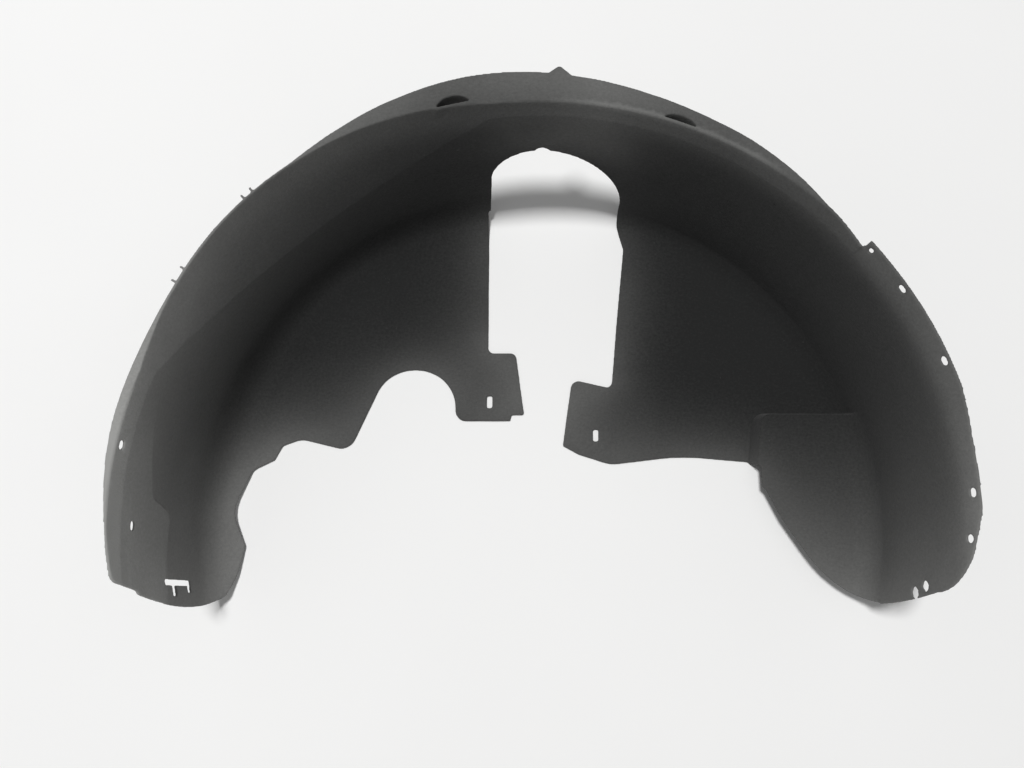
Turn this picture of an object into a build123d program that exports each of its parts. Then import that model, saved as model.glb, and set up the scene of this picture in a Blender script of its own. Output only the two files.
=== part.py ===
from build123d import *
import os
from math import atan, cos, radians, sin, tan

# Wheel arch liner, moulded in one piece from felt sheet and lying on its side wall with the wheel side up.
# Sizes are in millimetres. Plan places are measured from the arch axis, which is the wheel's own axis:
# x runs along the car and y up to the top of the arch. Heights start at the back of the side wall.

# Moulded sheet
sheet = 3.0

# Bowl: a flat side wall that turns up into a leaning tread, with a flared band below the rim that is
# creased along the crest and blended along the fixing lip
depth = 250.0
foot_radius = 420.0
tread_lean = 10.0
flare_band = 22.0
lip_blend = 60.0
crest_flare = 5.0
lip_flare = 10.0
left_corner = 60.0
right_corner = 28.0

# Angles about the arch axis in degrees, counted from the right hand end of the liner
sweep_start = -26.0
lip_end = 38.0
corner_change = 90.0
sweep_end = 206.0

# Flange that folds outwards over the crest: angles about the axis and how far it reaches past the crest there
flange_stock = 60.0
flange_fall = 9.0
crest_bevel = 1.6
flange_reaches = (
    (45.0, 2.0),
    (57.0, 16.0),
    (70.0, 24.5),
    (96.0, 42.0),
    (112.0, 34.5),
    (128.0, 20.0),
    (143.0, 16.0),
    (152.0, 12.5),
    (163.0, 11.0),
    (171.0, 10.5),
    (180.0, 4.5),
    (188.0, 0.0),
)

# Shoulder of the upper left: a cone whose axis lies off the arch axis, so the rim bulges outwards there
shoulder_angle = 130.0
shoulder_offset = 95.0
shoulder_bulge = 18.5
shoulder_lean = 14.0
shoulder_drop = 130.0
shoulder_half = 75.0

# Locating bump on the flange's edge
bump_angle = 87.5
bump_reach = 50.0
bump_length = 26.0
bump_half = 28.0
bump_round = 5.0

# Clip pockets pressed into the flange: angle, distance behind the crest circle and width
clip_pockets = ((102.8, 8.5, 11.0), (69.6, 3.0, 8.5))
pocket_length = 40.0
pocket_depth = 16.0

# Small barbs on the left edge of the flange: angles and how far their tips reach past the crest
barb_tips = ((133.6, 26.0), (135.1, 26.0), (147.7, 21.0), (149.8, 20.0))
barb_root = 14.0
barb_width = 2.6

# Step in the rim between the flange and the fixing lip
rim_step_drop = 9.0
rim_step_angle = 6.5

# Raised panel in the right hand lobe
panel_height = 30.0
panel_draft = 10.0
panel_inset = 138.5
panel_slant = 9.0
panel_top = 122.0
panel_round = 12.0
panel_heel = 200.0

# Stepped pad on the left hand end of the tread, with its heights counted down from the flare
pad_step = 3.0
pad_fade = 14.0
pad_peak_drop = 23.0
pad_shoulder_drop = 61.0
pad_foot_drop = 104.0
pad_tail_rise = 25.0
pad_start = 112.0
pad_shoulder_place = 5.0
pad_foot_place = -10.0
pad_round = 14.0

# Strut slot: its sides in the side wall
slot_left = -65.0
slot_right = 100.0
slot_spread = 21.0
slot_kink_inset = 61.0
slot_kink_run = 34.0

# Strut slot: its arch in the tread, with each haunch by how far it lies in from the side and below the top
arch_left = -59.0
arch_right = 112.0
arch_left_spring = 88.0
arch_right_spring = 40.0
arch_top = 152.5
arch_peak = 4.0
arch_nick = 6.0
arch_nick_half = 9.0
arch_left_haunch = (15.0, 21.5)
arch_right_haunch = (34.0, 33.0)

# Tabs that reach into the slot, with a screw slot in each and a seat round the right one
tab_corner = 8.0
right_tab_corner = 11.0
tab_slant = 11.0
right_tab_slant = 13.0
left_tab_bottom = 117.5
left_tab_height = 92.5
left_tab_reach = 48.0
nick_round = 3.0
left_tab_nick = 8.0
left_tab_nick_length = 17.0
right_tab_bottom = 84.5
right_tab_height = 89.5
right_tab_reach = 66.0
right_tab_fall = 12.0
right_tab_toe = 20.0
screw_slot_length = 16.0
screw_slot_width = 7.0
screw_slot_round = 1.5
left_screw_rise = 25.5
left_screw_reach = 2.0
right_screw_rise = 13.5
right_screw_reach = 22.5
seat_radius = 21.0
seat_rise = 1.0

# Lower edge of the side wall to the left: a scallop, a bulge and a crook
scallop_inset = 257.0
scallop_radius = 55.0
scallop_top = 187.0
scallop_lean = 36.0
bulge_run = 84.0
bulge_level = 77.5
bulge_round = 20.0
crook_inset = 85.0
crook_level = 84.5
crook_rise = 9.0
crook_run = 24.0
crook_drop = 19.0
crook_fall = 10.0
edge_round = 14.0
crook_round = 28.0
small_round = 7.0

# Left hand lobe: its waist, its tip and its toe
waist_inset = 27.0
waist_level = -1.5
waist_run = 54.0
waist_open = 22.0
waist_round = 45.0
tip_inset = 45.5
tip_level = -45.5
toe_run = 34.5
toe_lean = 5.7
toe_round = 60.0
toe_inset = 29.0
toe_rise = 8.0

# Lower edge of the side wall to the right, and the edge of the raised panel
right_edge_level = 63.0
right_edge_rise = 7.5
right_edge_dip = 3.5
right_edge_round = 300.0
right_heel_round = 42.0
panel_shave = 0.2
panel_flank_fall = 8.5
panel_tail = 29.0
panel_tick = 5.0
panel_knee_run = 22.0
panel_knee_level = -12.0
panel_bend_inset = 55.0
panel_bend_level = -100.0
panel_bend_round = 140.0

# Lobe ends: how far they reach below the axis, and their edges on the tread
lobe_end = -116.0
left_rim_fall = 8.0
left_end_lean = 34.0
left_rim_run = 102.0
left_end_round = 12.0
left_end_foot = 40.0
left_end_belly = 4.0
left_nick_drop = 40.0
left_nick_inset = 24.0
left_nick = 4.5
right_rim_start = 184.0
right_rim_ledge = 115.0
right_rim_ledge_fall = 6.0
right_rim_brow = 45.0
right_rim_brow_fall = 8.5
right_rim_fall = 20.0
right_rim_round = 60.0
right_shoulder_inset = 59.0
right_shoulder_round = 7.0
right_side_drop = 78.0
right_side_inset = 21.0
right_side_belly = 3.0

# Round fixing holes through the tread: angle about the axis, distance below the rim and diameter
round_holes = ((36.8, 7.0, 5.5), (-5.3, 23.0, 8.5))

# Long fixing holes through the tread: angle, distance below the rim, length, width and turn against the rim
long_holes = (
    (30.0, 6.5, 9.5, 5.0, 0.0),
    (18.7, 6.0, 9.5, 6.0, 0.0),
    (0.8, 15.5, 9.5, 6.5, 0.0),
    (-12.0, 100.0, 13.5, 10.0, -53.0),
    (172.9, 9.5, 9.5, 6.0, 0.0),
    (183.5, 45.0, 10.0, 7.0, 0.0),
)

# Screw slot in the right hand end, open to the edge through a narrow mouth
end_slot_inset = 19.0
end_slot_drop = 119.0
end_slot_length = 15.5
end_slot_width = 11.0
end_slot_turn = -51.0
end_slot_mouth = 5.0

# Latch cut-out in the left hand lobe: a bar up the tread with two legs
latch_low = 74.0
latch_length = 68.0
latch_width = 6.0
latch_inset = 30.0
latch_tilt = 3.2
latch_leg_width = 8.5
latch_leg_gap = 29.0
latch_long_leg = 11.5
latch_short_leg = 7.5

# Small offset that keeps neighbouring corners apart, the room that cutters run past what they cut,
# and the length of those that go through a whole lobe
ease = 1.5
over = 40.0
through = 160.0

# Sizes that follow from the ones above
flare_height = depth - flare_band
flare_radius = foot_radius + tread_lean
crest_radius = flare_radius + crest_flare
lip_radius = flare_radius + lip_flare
wall_top = depth - sheet
shoulder_radius = crest_radius + shoulder_bulge - shoulder_offset
panel_left = foot_radius - panel_inset
slot_kink = foot_radius - slot_kink_inset
left_tab_top = left_tab_bottom + left_tab_height
left_tab_side = slot_left + left_tab_reach
right_tab_top = right_tab_bottom + right_tab_height
right_tab_side = slot_right - right_tab_reach
left_screw = (slot_left + left_screw_reach, left_tab_bottom + left_screw_rise)
right_screw = (slot_right - right_screw_reach, right_tab_bottom + right_screw_rise)


def polar(radius, angle):
    """A plan point at a radius and an angle about the arch axis."""
    return (radius * cos(radians(angle)), radius * sin(radians(angle)))


def section_plane(angle):
    """An upright plane through the arch axis: its x points outwards at the angle and its y points up."""
    return Plane((0, 0, 0), x_dir=(*polar(1, angle), 0), z_dir=(*polar(1, angle - 90), 0))


def tread_plane(angle, radius, height, lean=0.0):
    """A plane square to a tread that leans outwards by lean: its x runs round the arch and its z outwards."""
    outwards = (*polar(cos(lean), angle), -sin(lean))
    return Plane((*polar(radius, angle), height), x_dir=(*polar(1, angle + 90), 0), z_dir=outwards)


def flange_plane(angle, setback, lift):
    """A plane along the flange's upper face, raised by lift: its y points outwards down the slope."""
    slope = atan(flange_fall / flange_stock)
    face = Plane(
        (*polar(crest_radius + setback, angle), depth - flange_fall * setback / flange_stock),
        x_dir=(*polar(1, angle - 90), 0),
        z_dir=(*polar(sin(slope), angle), cos(slope)),
    )
    return face.offset(lift)


def tread_radius(height, foot=foot_radius):
    """Radius of the tread's wheel side at a height below the flare."""
    return foot + (flare_radius - foot) * (height - sheet) / (flare_height - sheet)


def rim_radius(rim, height):
    """Radius of the flared band at a height, for a rim of the given radius."""
    return flare_radius + (rim - flare_radius) * (height - flare_height) / flare_band


def hole_plane(angle, height, spread):
    """A plane in the middle of the wall, square to how the wall leans within a spread about a height."""
    rim = lip_radius if angle < lip_end else crest_radius

    def wall_radius(level):
        return rim_radius(rim, level) if level > flare_height else tread_radius(level)

    lean = atan((wall_radius(height + spread) - wall_radius(height - spread)) / (2 * spread))
    return tread_plane(angle, wall_radius(height) + sheet / 2, height, lean)


def bowl(grow, headroom, floor=sheet, foot=foot_radius):
    """The wheel space as one solid, with every face moved outwards by grow and its flat end at floor."""
    sectors = (
        (sweep_start, lip_end, right_corner, lip_blend, lip_radius, depth + headroom),
        (lip_end, corner_change, right_corner, 0, crest_radius, wall_top + headroom),
        (corner_change, sweep_end, left_corner, 0, crest_radius, wall_top + headroom),
    )
    low = floor - grow
    with BuildPart() as space:
        for start, stop, corner, blend, rim, top in sectors:
            with BuildSketch(section_plane(start)):
                with BuildLine():
                    wall = FilletPolyline(
                        (0, low),
                        (tread_radius(low, foot) + grow, low),
                        (flare_radius + grow, flare_height),
                        (rim_radius(rim, top) + grow, top),
                        radius=[corner + grow, blend],
                    )
                    Polyline(wall @ 1, (0, top), (0, low))
                make_face()
            revolve(axis=Axis.Z, revolution_arc=stop - start)
    return space.part


def raised_panel(grow, headroom):
    """What the raised panel takes out of the wheel space, drawn in by grow on its free sides."""
    with BuildPart() as block:
        for level in (-over, panel_height + right_corner):
            spread = (panel_height - level) * tan(radians(panel_draft)) - grow
            with BuildSketch(Plane.XY.offset(level)):
                with BuildLine():
                    FilletPolyline(
                        (panel_left - spread, lobe_end - over),
                        (panel_left - spread, right_edge_level),
                        (panel_left + panel_slant - spread, panel_top + spread),
                        (lip_radius + over, panel_top + spread),
                        (lip_radius + over, lobe_end - over),
                        radius=[0, panel_heel, panel_round + spread, 0, 0],
                        close=True,
                    )
                make_face()
        loft(ruled=True)
        add(bowl(grow, headroom, floor=panel_height), mode=Mode.SUBTRACT)
    return block.part


def stepped_pad(grow, headroom):
    """What the stepped pad takes out of the wheel space: a wedge that fades out under the flare."""
    pad_foot = flare_height - pad_foot_drop
    pad_radius = tread_radius(pad_foot) - pad_step
    foot = flare_radius - (flare_radius - pad_radius) * (flare_height - sheet) / pad_foot_drop
    with BuildPart() as block:
        with BuildSketch(Plane.YZ.offset(-crest_radius - over)):
            with BuildLine():
                FilletPolyline(
                    (pad_start - grow, flare_height - pad_fade),
                    (pad_start - grow, flare_height - pad_peak_drop + grow),
                    (pad_shoulder_place - grow, flare_height - pad_shoulder_drop + grow),
                    (pad_foot_place - grow, pad_foot + grow),
                    (lobe_end - over, pad_foot + pad_tail_rise + grow),
                    (lobe_end - over, flare_height - pad_fade),
                    radius=[0, 0, pad_round, pad_round, 0, 0],
                    close=True,
                )
            make_face()
        extrude(amount=3 * over)
        add(bowl(grow, headroom, foot=foot), mode=Mode.SUBTRACT)
    return block.part


def shoulder_space(grow, headroom):
    """The wheel space within the upper left shoulder, with its faces moved outwards by grow."""
    rim = shoulder_radius + grow
    waist = rim - crest_flare
    foot = waist - (shoulder_drop - flare_band) * tan(radians(shoulder_lean))
    brim = rim + crest_flare * headroom / flare_band
    bands = (
        (depth - shoulder_drop, foot, waist, shoulder_drop - flare_band),
        (flare_height, waist, brim, flare_band + headroom),
    )
    with BuildPart() as space:
        for level, low_radius, high_radius, height in bands:
            with Locations((*polar(shoulder_offset, shoulder_angle), level)):
                Cone(
                    low_radius,
                    high_radius,
                    height,
                    arc_size=2 * shoulder_half,
                    rotation=(0, 0, shoulder_angle - shoulder_half),
                    align=(Align.NONE, Align.NONE, Align.NONE),
                )
    return space.part


def wheel_space(grow, headroom):
    """The bowl and its shoulder, with the raised panel and the stepped pad standing into them."""
    with BuildPart() as space:
        add(bowl(grow, headroom))
        add(shoulder_space(grow, headroom))
        add(raised_panel(grow, headroom), mode=Mode.SUBTRACT)
        add(stepped_pad(grow, headroom), mode=Mode.SUBTRACT)
    return space.part


def locating_bump():
    """Outline of the locating bump: a tooth with a round tip."""
    apex = Plane(polar(crest_radius + bump_reach, bump_angle), x_dir=polar(1, bump_angle))
    with BuildSketch(apex) as outline:
        with BuildLine():
            FilletPolyline(
                (0, 0),
                (-bump_length, bump_half),
                (-bump_length, -bump_half),
                radius=[bump_round, 0, 0],
                close=True,
            )
        make_face()
    return outline.sketch


def clip_pocket_outline(width):
    """Outline of a clip pocket: straight along the crest and round on its outer side."""
    with BuildSketch(mode=Mode.PRIVATE) as outline:
        with BuildLine():
            brow = ThreePointArc((pocket_length / 2, 0), (0, width), (-pocket_length / 2, 0))
            Line(brow @ 1, brow @ 0)
        make_face()
    return outline.sketch


# Flange: a strip that folds over the crest and falls away outwards, cut to a crescent with bump and barbs
crest_inside = rim_radius(crest_radius, wall_top)
with BuildPart() as flange:
    with BuildSketch(section_plane(lip_end)):
        with BuildLine():
            Polyline(
                (crest_inside, wall_top),
                (rim_radius(crest_radius, depth - crest_bevel), depth - crest_bevel),
                (crest_radius + crest_bevel, depth - flange_fall * crest_bevel / flange_stock),
                (crest_radius + flange_stock, depth - flange_fall),
                (crest_radius + flange_stock, depth - flange_fall - sheet),
                (crest_inside + sheet, wall_top),
                close=True,
            )
        make_face()
    revolve(axis=Axis.Z, revolution_arc=sweep_end - lip_end)
    with BuildSketch(Plane.XY):
        with BuildLine():
            crescent = Spline(*[polar(crest_radius + reach, angle) for angle, reach in flange_reaches])
            Polyline(
                crescent @ 1,
                polar(crest_radius + over, sweep_end),
                (0, 0),
                polar(crest_radius + 2 * sheet, lip_end - ease),
                crescent @ 0,
            )
        make_face()
        add(locating_bump())
        for angle, tip in barb_tips:
            with Locations(Location(polar(crest_radius + tip, angle), angle)):
                Rectangle(barb_root, barb_width, align=(Align.MAX, Align.CENTER))
    extrude(amount=depth + over, mode=Mode.INTERSECT)
    add(shoulder_space(0.0, over), mode=Mode.SUBTRACT)

# Opening in the side wall, corner by corner with the radius of each: slot, tabs, scallops and lobe edges
slot_top = foot_radius - right_corner / 2
panel_edge = panel_left + sheet + panel_shave
flank_foot = panel_left - panel_height * tan(radians(panel_draft))
opening_corners = (
    # Left side of the slot and the left tab
    (slot_left, slot_top, 0),
    (slot_left, left_tab_top, tab_corner),
    (left_tab_side - tab_slant, left_tab_top, tab_corner),
    (left_tab_side, left_tab_bottom + left_tab_nick, nick_round),
    (left_tab_side - left_tab_nick_length, left_tab_bottom + left_tab_nick, 0),
    (left_tab_side - left_tab_nick_length - ease, left_tab_bottom, 0),
    # Scallop, bulge and crook
    (-foot_radius + scallop_inset + scallop_radius, left_tab_bottom, edge_round),
    (-foot_radius + scallop_inset + scallop_radius, scallop_top, scallop_radius - ease),
    (-foot_radius + scallop_inset - scallop_lean, scallop_top, scallop_radius - ease),
    (-foot_radius + scallop_inset - bulge_run, bulge_level, bulge_round),
    (-foot_radius + crook_inset + crook_run, crook_level + crook_rise, crook_round),
    (-foot_radius + crook_inset, crook_level, small_round),
    (-foot_radius + crook_inset - crook_fall, crook_level - crook_drop, 0),
    # Left lobe
    (-foot_radius + waist_inset + waist_open, waist_level + waist_run, edge_round),
    (-foot_radius + waist_inset, waist_level, waist_round),
    (-foot_radius + tip_inset, tip_level, 0),
    (-foot_radius + tip_inset - toe_lean, tip_level - toe_run, toe_round),
    (-foot_radius + toe_inset, lobe_end + toe_rise, edge_round),
    (-foot_radius + toe_rise, lobe_end - 2 * ease, 0),
    # Round below the liner to the right lobe
    (-foot_radius, lobe_end - 2 * over, 0),
    (foot_radius, lobe_end - 2 * over, 0),
    (foot_radius, lobe_end, 0),
    (foot_radius - panel_bend_inset, panel_bend_level, panel_bend_round),
    (panel_edge + panel_knee_run, panel_knee_level, edge_round),
    (panel_edge + panel_tick, panel_tail - panel_tick, 0),
    (panel_edge, panel_tail, 0),
    (panel_edge, right_edge_level - panel_flank_fall, 0),
    (flank_foot, right_edge_level, 0),
    # Lower edge of the right hand side and the right tab
    ((slot_right + panel_left) / 2, right_edge_level + right_edge_rise, right_edge_round),
    (slot_right - right_edge_dip, right_edge_level - right_edge_dip, right_heel_round),
    (right_tab_side + right_tab_toe, right_tab_bottom - tab_slant, tab_corner),
    (right_tab_side, right_tab_bottom, 0),
    (right_tab_side + right_tab_slant, right_tab_top, right_tab_corner),
    (slot_right, right_tab_top - right_tab_fall, small_round),
    # Right side of the slot
    (slot_right + slot_spread, slot_kink, 0),
    (arch_right, slot_kink + slot_kink_run, tab_corner),
    (arch_right, slot_top, 0),
)

# Liner
left_side = Plane.YZ.offset(-crest_radius - over)
right_side = Plane.YZ.offset(crest_radius + over)
with BuildPart() as liner:
    add(wheel_space(sheet, 0.0))
    add(wheel_space(0.0, over), mode=Mode.SUBTRACT)
    add(flange.part)

    # Top of the shoulder, cut level with the flange
    with BuildSketch(section_plane(corner_change)):
        with BuildLine():
            Polyline(
                (crest_radius, depth),
                (crest_radius + flange_stock, depth - flange_fall),
                (crest_radius + flange_stock, depth + over),
                (crest_radius, depth + over),
                close=True,
            )
        make_face()
    revolve(axis=Axis.Z, revolution_arc=sweep_end - corner_change, mode=Mode.SUBTRACT)

    # Clip pockets
    for angle, setback, width in clip_pockets:
        with BuildSketch(flange_plane(angle, setback, -pocket_depth - sheet)):
            add(clip_pocket_outline(width))
            offset(amount=sheet)
        extrude(amount=pocket_depth + sheet / 2)
        with BuildSketch(flange_plane(angle, setback, -pocket_depth)):
            add(clip_pocket_outline(width))
        extrude(amount=pocket_depth + over, mode=Mode.SUBTRACT)

    # Seat round the right hand screw slot
    with BuildSketch(Plane.XY):
        with Locations(right_screw):
            Circle(seat_radius)
    extrude(amount=sheet + seat_rise)

    # Opening in the side wall
    with BuildSketch(Plane.XY.offset(-over)):
        with BuildLine():
            FilletPolyline(
                *[(x, y) for x, y, _ in opening_corners],
                radius=[corner_radius for _, _, corner_radius in opening_corners],
                close=True,
            )
        make_face()
    extrude(amount=over + panel_height + right_corner, mode=Mode.SUBTRACT)

    # Arch of the slot in the tread, with a small nick at its peak
    arch_start = slot_kink + ease
    with BuildSketch(Plane.XZ.offset(-arch_start)):
        with BuildLine():
            left_haunch = ThreePointArc(
                (arch_left, arch_left_spring),
                (arch_left + arch_left_haunch[0], arch_top - arch_left_haunch[1]),
                (arch_peak - arch_nick_half, arch_top),
            )
            right_haunch = ThreePointArc(
                (arch_peak + arch_nick_half, arch_top),
                (arch_right - arch_right_haunch[0], arch_top - arch_right_haunch[1]),
                (arch_right, arch_right_spring),
            )
            ThreePointArc(left_haunch @ 1, (arch_peak, arch_top + arch_nick), right_haunch @ 0)
            Polyline(right_haunch @ 1, (arch_right, -over), (slot_left, -over), left_haunch @ 0)
        make_face()
    extrude(amount=arch_start - crest_radius - over, mode=Mode.SUBTRACT)

    # Screw slots in the tabs
    with BuildSketch(Plane.XY.offset(-over)):
        with Locations(left_screw, right_screw):
            RectangleRounded(screw_slot_width, screw_slot_length, screw_slot_round)
    extrude(amount=2 * over, mode=Mode.SUBTRACT)

    # Left hand end: the rim falls a little, then the edge runs down to the toe with one small nick
    left_rim = depth - left_rim_fall
    nick_height = left_rim - left_nick_drop
    with BuildSketch(left_side):
        with BuildLine():
            belly = ThreePointArc(
                (lobe_end + left_nick_inset - left_nick, nick_height - left_nick),
                (lobe_end + left_end_belly, (nick_height + left_end_foot) / 2),
                (lobe_end, left_end_foot),
            )
            rim_corner = FilletPolyline(
                (lobe_end + left_rim_run, depth + ease),
                (lobe_end + left_end_lean, left_rim),
                (lobe_end + left_nick_inset, nick_height),
                radius=left_end_round,
            )
            Polyline(rim_corner @ 1, belly @ 0)
            Polyline(
                belly @ 1,
                (lobe_end, -over),
                (lobe_end - through, -over),
                (lobe_end - through, depth + over),
                (lobe_end + left_rim_run, depth + over),
                rim_corner @ 0,
            )
        make_face()
    extrude(amount=through, mode=Mode.SUBTRACT)

    # Right hand end: a long round shoulder down to the raised panel
    right_rim = depth - right_rim_fall
    shoulder_place = lobe_end + right_shoulder_inset
    side_top = (lobe_end + right_side_inset, depth - right_side_drop)
    shoulder_middle = (
        (shoulder_place + side_top[0]) / 2 - right_shoulder_round,
        (right_rim + side_top[1]) / 2 + right_shoulder_round,
    )
    with BuildSketch(right_side):
        with BuildLine():
            brow = FilletPolyline(
                (shoulder_place + right_rim_start, depth + ease),
                (shoulder_place + right_rim_ledge, depth - right_rim_ledge_fall),
                (shoulder_place + right_rim_brow, depth - right_rim_brow_fall),
                (shoulder_place, right_rim),
                radius=right_rim_round,
            )
            shoulder = ThreePointArc(
                brow @ 1,
                shoulder_middle,
                side_top,
            )
            belly = ThreePointArc(
                shoulder @ 1,
                (lobe_end + right_side_inset / 2 - right_side_belly, (side_top[1] + panel_height) / 2),
                (lobe_end, panel_height),
            )
            Polyline(
                belly @ 1,
                (lobe_end, -over),
                (lobe_end - through, -over),
                (lobe_end - through, depth + over),
                (shoulder_place + right_rim_start, depth + over),
                brow @ 0,
            )
        make_face()
    extrude(amount=-through, mode=Mode.SUBTRACT)

    # Step in the rim where the fixing lip starts
    step_half = crest_radius * radians(rim_step_angle) / 2
    with BuildSketch(tread_plane(lip_end + rim_step_angle / 2, foot_radius, depth)):
        with BuildLine():
            Polyline(
                (-step_half - ease, -rim_step_drop),
                (step_half, 0),
                (step_half, over),
                (-step_half - ease, over),
                close=True,
            )
        make_face()
    extrude(amount=2 * over, mode=Mode.SUBTRACT)

    # Fixing holes, square to the tread
    for angle, drop, diameter in round_holes:
        with Locations(hole_plane(angle, depth - drop, diameter).offset(over)):
            Hole(diameter / 2, depth=2 * over)
    for angle, drop, length, width, turn in long_holes:
        with BuildSketch(hole_plane(angle, depth - drop, width).offset(-over)):
            SlotOverall(length, width, rotation=turn)
        extrude(amount=2 * over, mode=Mode.SUBTRACT)

    # Screw slot in the right hand end
    with BuildSketch(right_side):
        with Locations((lobe_end + end_slot_inset, depth - end_slot_drop)):
            SlotOverall(end_slot_length, end_slot_width, rotation=end_slot_turn)
            Rectangle(2 * end_slot_inset, end_slot_mouth, align=(Align.MAX, Align.MIN))
    extrude(amount=-through, mode=Mode.SUBTRACT)

    # Latch cut-out
    latch_foot = Location((lobe_end + latch_inset, latch_low, 0), (0, 0, -latch_tilt))
    with BuildSketch(left_side):
        with Locations(latch_foot):
            Rectangle(latch_width, latch_length, align=(Align.MAX, Align.MIN))
            Rectangle(latch_width + latch_short_leg, latch_leg_width, align=(Align.MAX, Align.MIN))
            with Locations((0, latch_leg_width + latch_leg_gap)):
                Rectangle(latch_width + latch_long_leg, latch_leg_width, align=(Align.MAX, Align.MIN))
    extrude(amount=3 * over, mode=Mode.SUBTRACT)

# Origin at the middle of the liner's box, on the surface that it lies on
extent = liner.part.bounding_box()
placed = Pos(-extent.center().X, -extent.center().Y, -extent.min.Z) * liner.part
placed.label = "wheel_arch_liner"

os.makedirs("parts", exist_ok=True)
export_step(placed, "parts/wheel_arch_liner.step")
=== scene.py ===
import math

import bpy
from bpy.props import FloatProperty, FloatVectorProperty, IntProperty, PointerProperty
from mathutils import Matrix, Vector
from mathutils.bvhtree import BVHTree
from mathutils.kdtree import KDTree


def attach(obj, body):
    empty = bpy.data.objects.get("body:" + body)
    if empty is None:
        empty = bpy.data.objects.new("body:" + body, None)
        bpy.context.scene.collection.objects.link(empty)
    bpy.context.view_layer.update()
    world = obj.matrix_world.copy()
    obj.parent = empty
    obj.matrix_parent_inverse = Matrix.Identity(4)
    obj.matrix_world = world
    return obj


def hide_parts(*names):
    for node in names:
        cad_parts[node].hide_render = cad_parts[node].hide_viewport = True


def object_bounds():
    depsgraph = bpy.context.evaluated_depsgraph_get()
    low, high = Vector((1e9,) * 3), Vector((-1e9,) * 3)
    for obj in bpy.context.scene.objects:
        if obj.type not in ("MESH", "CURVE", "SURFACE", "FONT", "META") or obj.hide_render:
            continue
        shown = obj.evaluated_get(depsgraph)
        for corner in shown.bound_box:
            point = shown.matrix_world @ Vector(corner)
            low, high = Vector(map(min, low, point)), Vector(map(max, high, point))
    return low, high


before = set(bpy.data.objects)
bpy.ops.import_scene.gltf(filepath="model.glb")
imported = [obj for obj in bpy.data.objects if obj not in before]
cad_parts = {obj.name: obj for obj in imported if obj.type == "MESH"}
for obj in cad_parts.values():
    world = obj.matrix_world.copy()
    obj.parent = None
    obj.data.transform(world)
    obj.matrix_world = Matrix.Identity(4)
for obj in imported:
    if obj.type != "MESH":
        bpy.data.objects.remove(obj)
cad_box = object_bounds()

bl_info = {
    "name": "Wheel Arch Liner",
    "version": (1, 0, 0),
    "blender": (4, 5, 0),
    "location": "3D View > Sidebar > Liner",
    "description": "Dresses the packed wheel arch liner as moulded needle felt and sets its stage",
    "category": "Object",
}

LINER_NODE = "wheel_arch_liner"
CAD_LOW, CAD_HIGH = (Vector(corner) for corner in cad_box)

MERGE_GAP = 1e-6

# The outline in plan: cells, empty cells round the box, and the rays that look down into a cell
PLAN_CELL = 0.004
PLAN_MARGIN = 2
RAY_HEIGHT = 1.0
RAY_SHARES = (0.17, 0.5, 0.83)
DOWN = (0, 0, -1)

# The painted light along the outline: how many reaches away it still counts, and how many steps of outline
# a point stands for
PAINTED_LIGHT = "painted_light_share"
REACHES = 3
STEPS_PER_POINT = 1.25

# Shares of the height between which the painted light of the rim climbs in, and of the left half where the
# left wall begins
RIM_CLIMB = (0.78, 0.95)
LEFT_WALL = 0.5

# The pad of the left wall, on which light is painted: its lower edge as y and z, the blur of that edge,
# and where it fades along y
PAD_EDGE = ((-0.2993, 0.149), (-0.1933, 0.124), (-0.1783, 0.167), (-0.0713, 0.205))
PAD_BLUR = 0.002
PAD_FADE = (-0.15, -0.07)

# The painted highlight along the crease: its arc, the share of the height that it lies above, its sides,
# and its two ends along x
ARCH_AXIS = Vector((0.0011, -0.1833))
CREST = 0.9
CREST_RADIUS = 0.4365
CREASE_SIDES = (0.001, 0.004)
CREASE_START = (0.0, 0.08)
CREASE_END = (0.22, 0.28)

# The stage, with the width of the camera's sensor in millimetres
FLOOR_WIDTH = 8
FLOOR_DROP = 0.0008
SENSOR_WIDTH = 36

# Sockets of a Mix node that mixes two colours
MIX_FACTOR = 0
MIX_FIRST = 6
MIX_SECOND = 7
MIX_RESULT = 2


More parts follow.
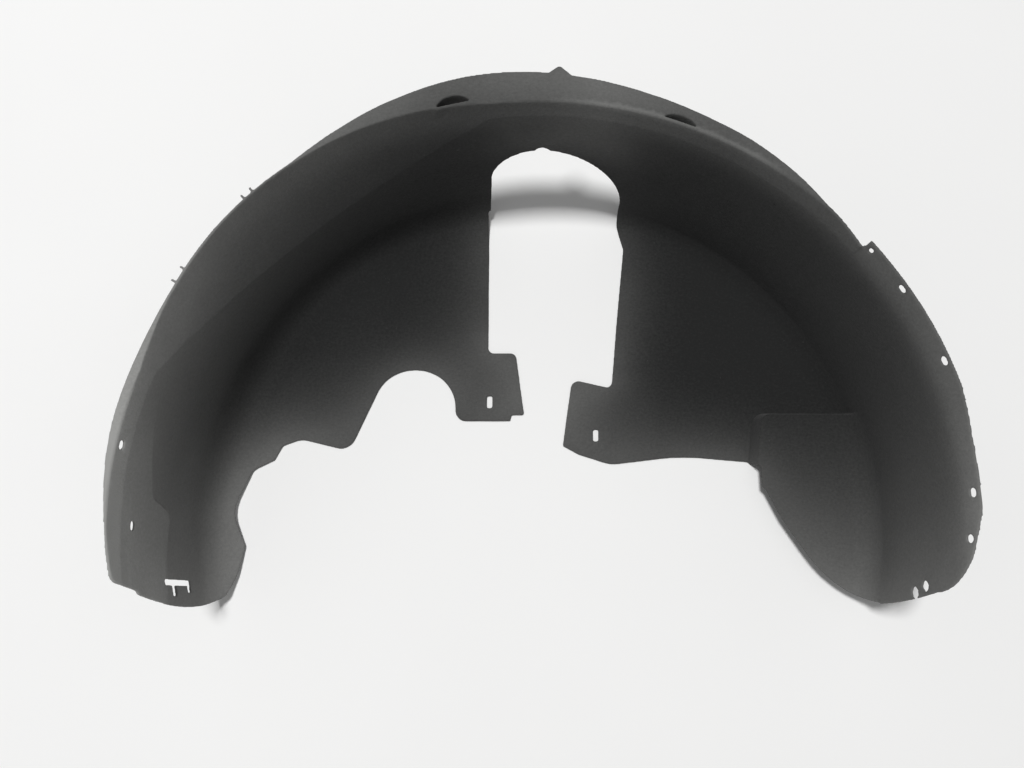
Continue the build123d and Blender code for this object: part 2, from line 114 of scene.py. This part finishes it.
class FeltSettings(bpy.types.PropertyGroup):
    """Sizes and colours of the moulded needle felt, and of the light and shade painted on it."""

    voxel: FloatProperty(
        name="Voxel", description="Grain of the mesh that rounds the cut edges",
        default=0.0012, min=0.0008, max=0.004, unit="LENGTH", precision=4,
    )
    faces: IntProperty(
        name="Faces", description="Triangles that the finished shell keeps",
        default=170000, min=20000, max=195000,
    )
    soften: IntProperty(
        name="Soften", description="Smoothing passes over the cut edges",
        default=3, min=0, max=20,
    )
    sag: FloatProperty(
        name="Sag", description="How far the moulded sheet wanders from its drawn shape",
        default=0.0016, min=0.0, max=0.004, unit="LENGTH", precision=4,
    )
    sag_length: FloatProperty(
        name="Sag length", description="Length of the wander along the sheet",
        default=0.11, min=0.02, max=0.5, unit="LENGTH",
    )
    lump: FloatProperty(
        name="Lump", description="How much the thickness of the felt varies",
        default=0.0003, min=0.0, max=0.001, unit="LENGTH", precision=5,
    )
    lump_length: FloatProperty(
        name="Lump length", description="Size of the thick and thin places",
        default=0.012, min=0.003, max=0.1, unit="LENGTH",
    )
    # Painted light: how far in from the outline the felt is paled, and the spacing of the outline points
    # it is measured from
    light_reach: FloatProperty(
        name="Dust reach", description="How far the dust reaches in from the outline",
        default=0.04, min=0.005, max=0.2, unit="LENGTH",
    )
    light_step: FloatProperty(
        name="Dust step", description="Least spacing of the outline points that the dust is measured from",
        default=0.008, min=0.004, max=0.05, unit="LENGTH",
    )
    # Painted light along the outline, most where edges meet as on the tabs, and more of it at the left end
    edge_light: FloatProperty(
        name="Edge dust", description="Dust along the outline, most where edges meet as on the tabs",
        default=0.032, min=0.0, max=1.0,
    )
    left_edge_light: FloatProperty(
        name="Left edge dust", description="Further dust along the outline at the left end",
        default=0.115, min=0.0, max=1.0,
    )
    # Painted light up the walls, stronger at the left end than at the right
    left_wall_light: FloatProperty(
        name="Left wall dust", description="Dust up the wall at the left end",
        default=0.495, min=0.0, max=1.0,
    )
    right_wall_light: FloatProperty(
        name="Right wall dust", description="Dust up the wall at the right end",
        default=0.14, min=0.0, max=1.0,
    )
    # Painted light at the feet of the lobes
    foot_light: FloatProperty(
        name="Foot dust", description="Dust at the feet of the lobes",
        default=0.352, min=0.0, max=1.0,
    )
    # Painted light on the flange and the rim, with less of it at the left end
    rim_light: FloatProperty(
        name="Rim dust", description="Dust on the flange and the rim",
        default=0.09, min=0.0, max=1.0,
    )
    left_rim_dimming: FloatProperty(
        name="Left rim wear", description="How much of the dust is rubbed off the rim at the left end",
        default=0.11, min=0.0, max=1.0,
    )
    # Painted light on the raised pad of the left wall
    pad_light: FloatProperty(
        name="Pad dust", description="Dust on the raised pad of the left wall",
        default=0.125, min=0.0, max=1.0,
    )
    # Painted highlight along the crease of the crest
    crease_highlight: FloatProperty(
        name="Crease dust", description="Wear along the crease of the crest",
        default=0.17, min=0.0, max=1.0,
    )
    # The felt runs from the dark fibre colour, left deep inside as painted shade, to the pale colour where
    # light is painted
    fibre: FloatVectorProperty(
        name="Fibre", description="Colour of the clean black fibre", subtype="COLOR",
        default=(0.0154, 0.0157, 0.0157), min=0.0, max=1.0,
    )
    lit_felt: FloatVectorProperty(
        name="Dust", description="Colour of the fibre where it is pressed and dusty", subtype="COLOR",
        default=(0.296, 0.296, 0.288), min=0.0, max=1.0,
    )


class StageSettings(bpy.types.PropertyGroup):
    """Floor, light and camera."""

    floor: FloatVectorProperty(
        name="Floor", description="Colour of the pale floor", subtype="COLOR",
        default=(0.89, 0.89, 0.885), min=0.0, max=1.0,
    )
    key: FloatProperty(
        name="Key", description="Brightness that the overhead lamp gives a white surface facing it",
        default=0.79, min=0.0, max=2.0,
    )
    fill: FloatProperty(
        name="Fill", description="Brightness that the light from all round gives a white surface",
        default=0.26, min=0.0, max=2.0,
    )
    lamp: FloatVectorProperty(
        name="Lamp", description="Place of the overhead lamp", subtype="TRANSLATION", unit="LENGTH",
        default=(-0.84, 0.70, 6.0),
    )
    lamp_size: FloatProperty(
        name="Lamp size", description="Width of the overhead lamp",
        default=0.9, min=0.01, max=4.0, unit="LENGTH",
    )
    eye: FloatVectorProperty(
        name="Eye", description="Place of the camera", subtype="TRANSLATION", unit="LENGTH",
        default=(-0.031887, -0.238262, 1.050),
    )
    tilt: FloatProperty(
        name="Tilt", description="Lean of the camera from straight down towards the top of the arch",
        default=math.radians(12.0), subtype="ANGLE",
    )
    lens: FloatProperty(
        name="Lens", description="Focal length on a sensor 36 mm wide",
        default=28.125, min=10.0, max=200.0,
    )


class Wire:
    """An output of a shader tree. Arithmetic on it adds Math nodes."""

    def __init__(self, tree, socket=None):
        self.tree = tree
        self.socket = socket

    def add(self, kind, settings=None, sockets=None, output=0):
        """A node of any kind: its settings are set first, then its sockets get values or links."""
        node = self.tree.nodes.new(kind)
        for name, value in (settings or {}).items():
            setattr(node, name, value)
        for name, value in (sockets or {}).items():
            if isinstance(value, Wire):
                self.tree.links.new(value.socket, node.inputs[name])
            else:
                node.inputs[name].default_value = value
        return Wire(self.tree, node.outputs[output])

    def maths(self, operation, *values):
        """A Math node on values or wires."""
        return self.add("ShaderNodeMath", {"operation": operation}, dict(enumerate(values)))

    def __add__(self, other):
        return self.maths("ADD", self, other)

    def __sub__(self, other):
        return self.maths("SUBTRACT", self, other)

    def __rsub__(self, other):
        return self.maths("SUBTRACT", other, self)

    def __mul__(self, other):
        return self.maths("MULTIPLY", self, other)

    __radd__ = __add__
    __rmul__ = __mul__

    def clamp(self, low, high):
        """The value stretched so that low becomes 0 and high becomes 1, and held there."""
        return self.add("ShaderNodeMapRange", None, {"Value": self, "From Min": low, "From Max": high})

    def blend(self, first, second):
        """A colour that goes from first to second as this value goes from 0 to 1."""
        sockets = {MIX_FACTOR: self, MIX_FIRST: first, MIX_SECOND: second}
        return self.add("ShaderNodeMix", {"data_type": "RGBA"}, sockets, output=MIX_RESULT)


def new_material(name):
    """A material with a Principled shader: the material, its tree as a wire, and the shader node."""
    material = bpy.data.materials.new(name)
    material.use_nodes = True
    tree = material.node_tree
    return material, Wire(tree), tree.nodes["Principled BSDF"]


def colour(value):
    """The colour with full alpha, as a socket takes it."""
    return (*value, 1.0)


def needle_felt(felt):
    """Black needle felt: fibres that lie all ways, needle pits, lint, and the light and shade painted on
    it.
    """
    material, wire, shader = new_material("needle_felt")
    place = wire.add("ShaderNodeTexCoord", output="Object")

    def noise(scale, detail=2.0, rough=0.5, at=place):
        return wire.add(
            "ShaderNodeTexNoise", None,
            {"Vector": at, "Scale": scale, "Detail": detail, "Roughness": rough},
        )

    def strands(turn, across, along):
        """Noise that is turned by these degrees and drawn out along one way."""
        angles = [math.radians(angle) for angle in turn]
        lain = wire.add(
            "ShaderNodeMapping", None,
            {"Vector": place, "Rotation": angles, "Scale": (along, across, across)},
        )
        return noise(scale=1.0, detail=1.0, at=lain)

    fibres = (
        strands(turn=(20, 15, 35), across=1900, along=160)
        + strands(turn=(-35, 10, 100), across=1700, along=150)
        + strands(turn=(70, -25, 160), across=1800, along=170)
    ) * (1 / 3)
    pits = wire.add("ShaderNodeTexVoronoi", None, {"Vector": place, "Scale": 420.0}).clamp(0.0, 0.45)
    clouds = noise(scale=14.0, detail=3.0)
    tufts = noise(scale=300.0, detail=3.0, rough=0.65)
    lint = noise(scale=330.0, detail=1.0).clamp(0.74, 0.8)

    # Strengths in the tone: noise varies about its middle, and felt with light painted on it shows more
    # grain than the dark felt
    middle = 0.5
    fibre_tone, tuft_tone, lint_tone = 1.2, 1.6, 0.05
    shaded_grain, lit_grain = 0.05, 0.22
    even_light, cloudy_light = 0.85, 0.3

    # Painted light: this share pales the felt from the dark fibre colour to the lit colour, with clouds
    # and grain over it
    lit_share = wire.add("ShaderNodeAttribute", {"attribute_name": PAINTED_LIGHT}, output="Fac")
    varied = (fibres - middle) * fibre_tone + (tufts - middle) * tuft_tone
    grain = varied * (lit_share * lit_grain + shaded_grain)
    cloudy = lit_share * (clouds * cloudy_light + even_light)
    tone = (cloudy + grain + lint * lint_tone).clamp(0.0, 1.0)
    base = tone.blend(colour(felt.fibre), colour(felt.lit_felt))

    fibre_height, pit_height, tuft_height = 0.55, 0.18, 0.5
    height = fibres * fibre_height + pits * pit_height + tufts * tuft_height
    bump = wire.add("ShaderNodeBump", None, {"Strength": 0.6, "Distance": 0.0009, "Height": height})
    wire.tree.links.new(base.socket, shader.inputs["Base Color"])
    wire.tree.links.new(bump.socket, shader.inputs["Normal"])
    shader.inputs["Roughness"].default_value = 0.95
    shader.inputs["Specular IOR Level"].default_value = 0.12
    shader.inputs["Sheen Weight"].default_value = 0.06
    shader.inputs["Sheen Roughness"].default_value = 0.6
    return material


def pale_floor(tint):
    """A plain pale floor with a faint unevenness."""
    material, wire, shader = new_material("pale_floor")
    place = wire.add("ShaderNodeTexCoord", output="Object")
    cloud = wire.add("ShaderNodeTexNoise", None, {"Vector": place, "Scale": 3.0, "Detail": 2.0})
    shade = 0.97
    darker = tuple(part * shade for part in tint)
    base = cloud.blend(colour(darker), colour(tint))
    wire.tree.links.new(base.socket, shader.inputs["Base Color"])
    shader.inputs["Roughness"].default_value = 0.9
    shader.inputs["Specular IOR Level"].default_value = 0.1
    return material


def only(piece):
    """Deselects everything else and makes the piece active."""
    bpy.ops.object.select_all(action="DESELECT")
    piece.select_set(True)
    bpy.context.view_layer.objects.active = piece


def apply(piece, kind, **settings):
    """Adds a modifier to the piece, sets it and applies it."""
    only(piece)
    bpy.ops.object.modifier_add(type=kind)
    modifier = piece.modifiers[-1]
    for name, value in settings.items():
        setattr(modifier, name, value)
    bpy.ops.object.modifier_apply(modifier=modifier.name)


def clouds_texture(name, size, in_colour):
    """Soft clouds of this size, in colour where they move points along all three axes."""
    texture = bpy.data.textures.new(name, "CLOUDS")
    texture.noise_scale = size
    texture.noise_depth = 1
    texture.cloud_type = "COLOR" if in_colour else "GRAYSCALE"
    return texture


def outline_points(piece, step):
    """Points of the shell along its outline in plan, over a step apart. Holes don't count as outside."""
    tree = BVHTree.FromPolygons(
        [v.co for v in piece.data.vertices], [p.vertices for p in piece.data.polygons],
    )
    wide, deep = (
        math.ceil((CAD_HIGH[axis] - CAD_LOW[axis]) / PLAN_CELL) + 2 * PLAN_MARGIN for axis in (0, 1)
    )

    def highest(cell):
        """The highest point in the cell. Nine rays look for it, so that no thin rim slips between them."""
        corner = CAD_LOW + Vector((cell[0] - PLAN_MARGIN, cell[1] - PLAN_MARGIN, 0)) * PLAN_CELL
        hits = [
            tree.ray_cast((corner.x + x * PLAN_CELL, corner.y + y * PLAN_CELL, RAY_HEIGHT), DOWN)[0]
            for x in RAY_SHARES
            for y in RAY_SHARES
        ]
        return max((hit for hit in hits if hit is not None), key=lambda hit: hit.z, default=None)

    seen = {(0, 0)}
    queue = [(0, 0)]
    outline = []
    while queue:
        x, y = queue.pop()
        for cell in ((x + 1, y), (x - 1, y), (x, y + 1), (x, y - 1)):
            if cell in seen or not (0 <= cell[0] < wide and 0 <= cell[1] < deep):
                continue
            seen.add(cell)
            point = highest(cell)
            if point is None:
                queue.append(cell)
            elif all((point - other).length > step for other in outline):
                outline.append(point)
    if not outline:
        raise RuntimeError("the shell has no outline in plan")
    return outline


def grown(points):
    """A search tree over the points."""
    tree = KDTree(len(points))
    for number, point in enumerate(points):
        tree.insert(point, number)
    tree.balance()
    return tree


def ease_in(value, start, stop):
    """0 before start and 1 after stop, with a smooth climb between them."""
    share = min(max((value - start) / (stop - start), 0.0), 1.0)
    return share * share * (3 - 2 * share)


def ease_out(value, start, stop):
    """1 before start and 0 after stop, with a smooth fall between them."""
    return 1 - ease_in(value, start, stop)


def pad_foot(y):
    """Height of the lower edge of the left wall's pad at y, without end where there is no pad."""
    for (y0, z0), (y1, z1) in zip(PAD_EDGE, PAD_EDGE[1:]):
        if y0 <= y <= y1:
            return z0 + (z1 - z0) * (y - y0) / (y1 - y0)
    return math.inf


def pad_share(point):
    """Share of the light painted on the pad: 1 on the pad of the left wall and 0 below it, and fading out
    towards the top of the arch.
    """
    return ease_in(point.z - pad_foot(point.y), -PAD_BLUR, PAD_BLUR) * ease_out(point.y, *PAD_FADE)


def crease_share(point):
    """Share of the painted highlight: 1 along the crease on the right of the crest, and fading out to its
    sides and ends.
    """
    off_crease = abs((point.xy - ARCH_AXIS).length - CREST_RADIUS)
    along = ease_in(point.x, *CREASE_START) * ease_out(point.x, *CREASE_END)
    return ease_out(off_crease, *CREASE_SIDES) * along


def paint_light(piece, felt):
    """Writes how much light is painted on each point: most along the outline, at the left end, the feet
    and the rim, some on the raised pad, a painted highlight on the crease, and the deep inside left dark
    as painted shade.
    """
    outline = grown(outline_points(piece, felt.light_step))

    def lit_felt(point):
        near = outline.find_range(point, REACHES * felt.light_reach)
        nearness = sum(math.exp(-gap / felt.light_reach) for _, _, gap in near)
        edge = nearness * STEPS_PER_POINT * felt.light_step / felt.light_reach
        up = point.z / CAD_HIGH.z
        left = max(point.x / CAD_LOW.x, 0) ** 2
        right = max(point.x / CAD_HIGH.x, 0) ** 2
        foot = max(point.y / CAD_LOW.y, 0) ** 2
        on_rim = ease_in(up, *RIM_CLIMB)
        on_pad = pad_share(point) if point.x < LEFT_WALL * CAD_LOW.x else 0.0
        on_crease = crease_share(point) if up > CREST else 0.0
        # Painted light: paler along the outline, up the walls, at the feet, on the rim and the raised pad,
        # with a painted highlight on the crease
        return (
            edge * (felt.edge_light * edge + felt.left_edge_light * left)
            + up * (felt.left_wall_light * left + felt.right_wall_light * right)
            + felt.foot_light * foot
            + (felt.rim_light - felt.left_rim_dimming * left) * on_rim
            + felt.pad_light * on_pad
            + felt.crease_highlight * on_crease
        )

    mark = piece.data.attributes.new(PAINTED_LIGHT, "FLOAT", "POINT")
    mark.data.foreach_set("value", [lit_felt(v.co) for v in piece.data.vertices])


class LINER_OT_felt_shell(bpy.types.Operator):
    """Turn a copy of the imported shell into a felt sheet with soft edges"""

    bl_idname = "liner.felt_shell"
    bl_label = "Felt shell"

    def execute(self, context):
        felt = context.scene.liner_felt
        shell = bpy.data.objects.new("felt_shell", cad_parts[LINER_NODE].data.copy())
        context.scene.collection.objects.link(shell)
        only(shell)
        bpy.ops.object.mode_set(mode="EDIT")
        bpy.ops.mesh.select_all(action="SELECT")
        bpy.ops.mesh.remove_doubles(threshold=MERGE_GAP)
        bpy.ops.object.mode_set(mode="OBJECT")
        coarse = 1.0
        apply(shell, "REMESH", mode="VOXEL", voxel_size=felt.voxel * coarse)
        apply(shell, "SMOOTH", factor=0.5, iterations=felt.soften)
        apply(
            shell, "DISPLACE", texture=clouds_texture("sag", felt.sag_length, True),
            direction="RGB_TO_XYZ", strength=felt.sag, mid_level=0.5,
        )
        apply(
            shell, "DISPLACE", texture=clouds_texture("lumps", felt.lump_length, False),
            direction="NORMAL", strength=felt.lump, mid_level=0.5,
        )
        # The remeshed faces have four corners, so each one counts as two triangles
        triangles = 2 * len(shell.data.polygons)
        apply(shell, "DECIMATE", ratio=felt.faces / triangles)
        only(shell)
        bpy.ops.object.shade_smooth()
        paint_light(shell, felt)
        shell.data.materials.clear()
        shell.data.materials.append(needle_felt(felt))
        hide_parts(LINER_NODE)
        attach(shell, "root")
        return {"FINISHED"}


def lay_floor(stage):
    """Lays the pale floor just under the liner."""
    bpy.ops.mesh.primitive_plane_add(size=FLOOR_WIDTH, location=(0, 0, -FLOOR_DROP))
    floor = bpy.context.object
    floor.name = "floor"
    floor.data.materials.append(pale_floor(stage.floor))


def hang_lamp(stage):
    """Hangs the overhead lamp and aims it at the origin."""
    place = Vector(stage.lamp)
    aim = place.to_track_quat("Z", "Y").to_euler()
    bpy.ops.object.light_add(type="AREA", location=place, rotation=aim)
    lamp = bpy.context.object
    lamp.data.shape = "DISK"
    lamp.data.size = stage.lamp_size
    # The power that gives a white surface at the origin, facing the lamp, the brightness of the key
    lamp.data.energy = stage.key * math.pi ** 2 * place.length_squared


def fill_light(scene, level):
    """Lights the scene from all round, and leaves the background white where it is seen."""
    world = scene.world or bpy.data.worlds.new("World")
    scene.world = world
    world.use_nodes = True
    wire = Wire(world.node_tree)
    background = world.node_tree.nodes["Background"]
    background.inputs["Color"].default_value = (1, 1, 1, 1)
    seen = wire.add("ShaderNodeLightPath", output="Is Camera Ray")
    for ray in ("Is Glossy Ray", "Is Transmission Ray"):
        seen = seen.maths("MAXIMUM", seen, wire.add("ShaderNodeLightPath", output=ray))
    strength = seen * (1 - level) + level
    wire.tree.links.new(strength.socket, background.inputs["Strength"])


def placed_camera(stage):
    """A camera above the liner that leans towards the top of the arch."""
    bpy.ops.object.camera_add(location=stage.eye, rotation=(stage.tilt, 0, 0))
    camera = bpy.context.object
    camera.data.sensor_width = SENSOR_WIDTH
    camera.data.lens = stage.lens
    return camera


class LINER_OT_stage(bpy.types.Operator):
    """Set the pale floor, the soft light and the camera"""

    bl_idname = "liner.stage"
    bl_label = "Stage"

    def execute(self, context):
        stage = context.scene.liner_stage
        bpy.ops.object.select_all(action="DESELECT")
        lay_floor(stage)
        hang_lamp(stage)
        fill_light(context.scene, stage.fill)
        context.scene.camera = placed_camera(stage)
        context.scene.view_settings.view_transform = "Standard"
        return {"FINISHED"}


class LINER_PT_sidebar(bpy.types.Panel):
    """Sizes, colours and steps of the wheel arch liner"""

    bl_idname = "LINER_PT_sidebar"
    bl_label = "Wheel Arch Liner"
    bl_space_type = "VIEW_3D"
    bl_region_type = "UI"
    bl_category = "Liner"

    def draw(self, context):
        for settings in (context.scene.liner_felt, context.scene.liner_stage):
            box = self.layout.box()
            for name in settings.__annotations__:
                box.prop(settings, name)
        for step in STEPS:
            self.layout.operator(step.bl_idname)


STEPS = (LINER_OT_felt_shell, LINER_OT_stage)
CLASSES = (FeltSettings, StageSettings, *STEPS, LINER_PT_sidebar)


def register():
    for cls in CLASSES:
        bpy.utils.register_class(cls)
    bpy.types.Scene.liner_felt = PointerProperty(type=FeltSettings)
    bpy.types.Scene.liner_stage = PointerProperty(type=StageSettings)


def unregister():
    del bpy.types.Scene.liner_stage
    del bpy.types.Scene.liner_felt
    for cls in reversed(CLASSES):
        bpy.utils.unregister_class(cls)


def main():
    register()
    bpy.ops.liner.felt_shell()
    bpy.ops.liner.stage()


if __name__ == "__main__":
    main()
